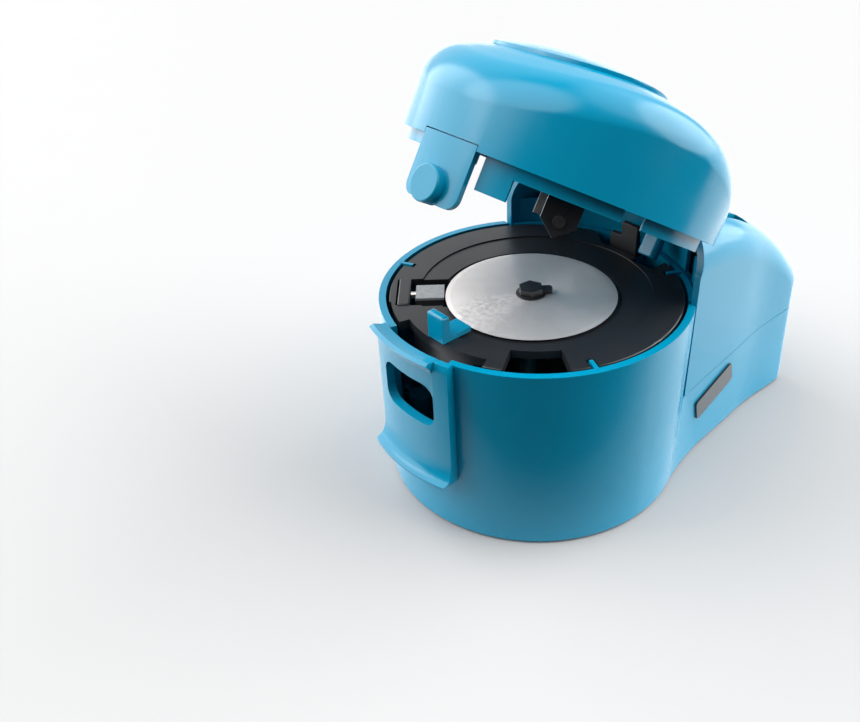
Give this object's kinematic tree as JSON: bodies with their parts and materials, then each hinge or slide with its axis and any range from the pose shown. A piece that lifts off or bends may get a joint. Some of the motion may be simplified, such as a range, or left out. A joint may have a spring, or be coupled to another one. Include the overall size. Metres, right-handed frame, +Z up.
{
  "type": "electric rotary blade sharpener",
  "caption": "Small powered sharpener for round rotary-cutter blades: drum body with a hinged snap lid, a blade between two stones and a motor housing behind.",
  "frame": {"origin": "centre of the round pad on the underside, on the standing surface and on the axis of the round drum", "axes": "+Z up; -Y towards the latch at the front; +Y towards the motor housing; X along the lid hinge"},
  "size_m": [0.083, 0.131, 0.1165],
  "materials": {
    "shell_plastic": "satin moulded cyan-blue plastic with a fine grain",
    "deck_plastic": "satin black moulded plastic",
    "dark_plastic": "dark grey moulded plastic",
    "badge_black": "gloss black blank plate",
    "white_plastic": "off-white acetal",
    "steel": "brushed",
    "bright_steel": "polished",
    "stone": "fine-grit sharpening stone, matte",
    "zinc_screw": "zinc plated",
    "motor_can": "zinc plated can",
    "bronze": "sintered bronze",
    "rubber": "matte",
    "board": "green laminate",
    "magnet_metal": "nickel plated"
  },
  "bodies": {
    "housing": {"lower_shell": "shell_plastic", "rear_cover": "shell_plastic", "baffle": "shell_plastic", "base_plate": "dark_plastic", "rubber_feet": "rubber", "base_screws": "zinc_screw", "deck": "deck_plastic", "deck_screws": "zinc_screw", "badge": "badge_black", "latch_plate": "shell_plastic", "latch_backing": "deck_plastic", "lower_stone_block": "deck_plastic", "lower_stone_shaft": "bright_steel", "gear_frame": "dark_plastic", "idler_axle": "bright_steel", "motor": "motor_can", "motor_cap": "deck_plastic", "motor_screws": "zinc_screw", "circuit_board": "board", "board_parts": "dark_plastic", "dc_socket": "deck_plastic", "switch_body": "deck_plastic", "switch_bracket": "dark_plastic", "hinge_pin": "bright_steel", "hinge_spring": "steel", "upper_bearing": "bronze", "lower_bearing": "bronze"},
    "spindle": {"spindle_gear": "white_plastic", "spindle_shaft": "steel", "magnet": "magnet_metal", "blade": "bright_steel", "centre_post": "deck_plastic"},
    "idler": {"idler_gear": "white_plastic"},
    "motor_rotor": {"motor_pinion": "bronze", "motor_shaft": "bright_steel"},
    "size_stop": {"size_slider": "shell_plastic"},
    "lower_stone_rocker": {"lower_stone_carrier": "dark_plastic", "lower_stone": "stone"},
    "switch_button": {"switch_plunger": "white_plastic"},
    "lid": {"lid_shell": "shell_plastic", "lid_panel": "shell_plastic", "lid_liner": "shell_plastic", "lid_carrier": "shell_plastic", "switch_peg": "shell_plastic", "lid_screws": "zinc_screw", "upper_bracket": "deck_plastic", "bracket_rivet": "steel", "spring_leaf": "steel", "upper_stone_pin": "bright_steel", "hinge_arm_left": "dark_plastic", "hinge_arm_right": "dark_plastic"},
    "tongue": {"latch_tongue": "shell_plastic"},
    "upper_stone_rocker": {"upper_stone_holder": "dark_plastic", "upper_stone": "stone"}
  },
  "joints": [
    {"name": "lid_hinge", "type": "hinge", "parent": "housing", "child": "lid", "pos_m": [0, 0.0515, 0.054], "axis": [1, 0, 0], "range_deg": [0, 31.2], "stiffness_Nm_per_rad": 0.1, "springref_deg": -20.05, "deforming": ["latch_tongue"]},
    {"name": "tongue_flex", "type": "hinge", "parent": "lid", "child": "tongue", "pos_m": [0, -0.02692, 0.10231], "axis": [1, 0, 0], "range_deg": [0, 12], "stiffness_Nm_per_rad": 0.5, "springref_deg": -2.86},
    {"name": "upper_stone_tilt", "type": "hinge", "parent": "lid", "child": "upper_stone_rocker", "pos_m": [0.02173, -0.00991, 0.0947], "axis": [0.7133, 0.5995, -0.3631], "range_deg": [-3, 6], "stiffness_Nm_per_rad": 0.01},
    {"name": "spindle_spin", "type": "hinge", "parent": "housing", "child": "spindle", "pos_m": [0.0012, -0.0026, 0.03], "axis": [0, 0, 1], "continuous": true},
    {"name": "idler_spin", "type": "hinge", "parent": "housing", "child": "idler", "pos_m": [0.0012, 0.0286, 0.008], "axis": [0, 0, 1], "continuous": true},
    {"name": "motor_spin", "type": "hinge", "parent": "housing", "child": "motor_rotor", "pos_m": [0.0012, 0.0462, 0.008], "axis": [0, 0, 1], "continuous": true},
    {"name": "size_slide", "type": "slide", "parent": "housing", "child": "size_stop", "axis": [0, -1, 0], "range_m": [0, 0.002]},
    {"name": "lower_stone_tilt", "type": "hinge", "parent": "housing", "child": "lower_stone_rocker", "pos_m": [-0.01968, -0.02264, 0.0519], "axis": [-0.6561, -0.7547, 0], "range_deg": [-3, 3], "stiffness_Nm_per_rad": 0.005},
    {"name": "switch_press", "type": "slide", "parent": "housing", "child": "switch_button", "axis": [0, 0, -1], "range_m": [0, 0.001], "stiffness_N_per_m": 300}
  ],
  "couplings": [
    {"joint": "idler_spin", "follows": "spindle_spin", "ratio": -1.6},
    {"joint": "motor_spin", "follows": "spindle_spin", "ratio": 3.4286}
  ]
}
